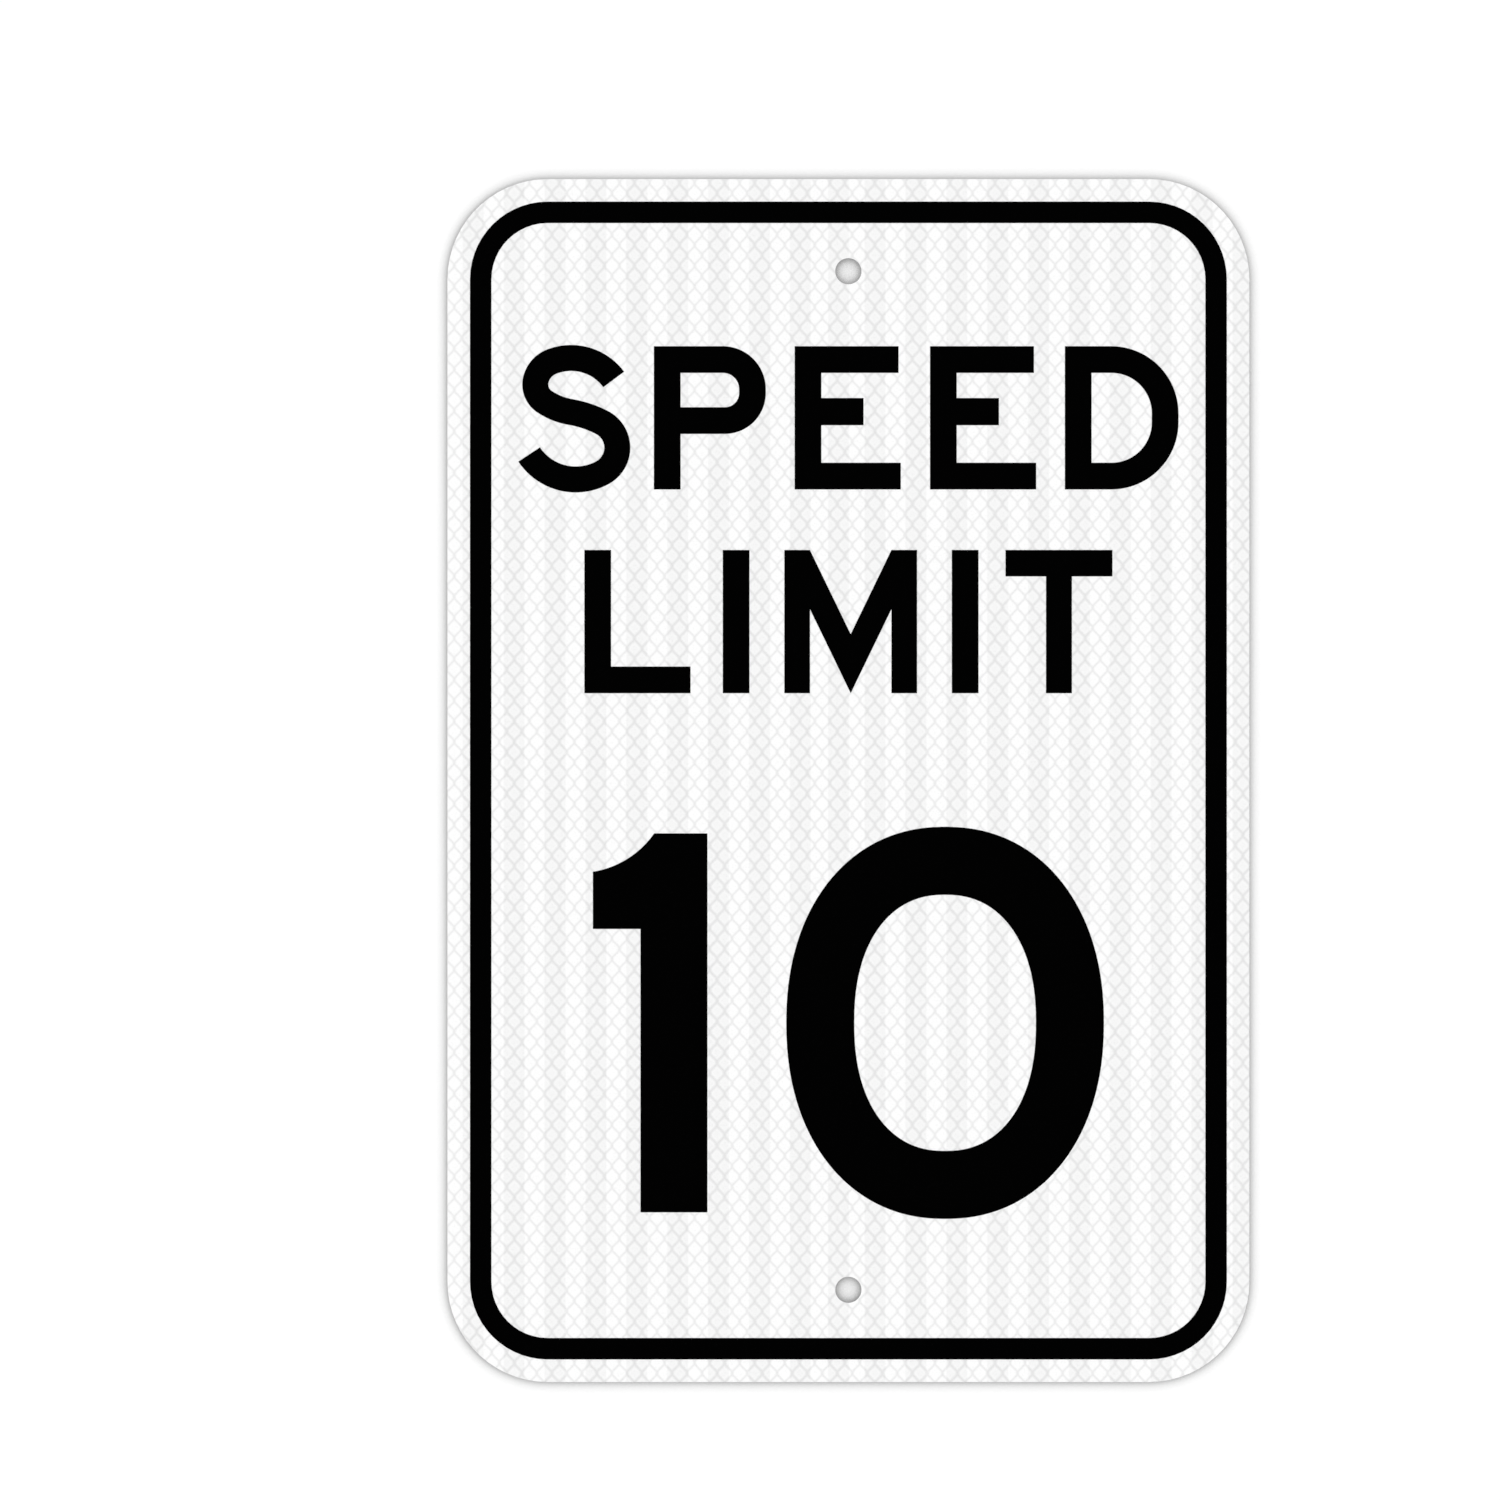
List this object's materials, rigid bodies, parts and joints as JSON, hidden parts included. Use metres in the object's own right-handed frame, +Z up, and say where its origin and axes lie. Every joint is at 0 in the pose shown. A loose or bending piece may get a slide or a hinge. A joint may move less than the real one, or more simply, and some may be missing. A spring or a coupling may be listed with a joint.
{
  "type": "speed limit sign",
  "caption": "Flat aluminium speed limit sign with rounded corners, reflective white face, black border and numerals, and bolt holes for a post.",
  "frame": {"origin": "middle of the two bolt holes, on the plane of the bare back", "axes": "+Z up the upright sign, +Y out of the back towards the post, face towards -Y"},
  "size_m": [0.3048, 0.0016, 0.4572],
  "materials": {
    "bare_aluminium": "mill finish, rolled",
    "white_sheeting": "smooth reflective film with a diamond seal pattern",
    "black_print": "smooth printed ink"
  },
  "bodies": {
    "root": {"sign_blank": "bare_aluminium", "reflective_sheeting": "white_sheeting", "border_stripe": "black_print", "numeral_one": "black_print", "numeral_zero": "black_print"}
  },
  "joints": []
}
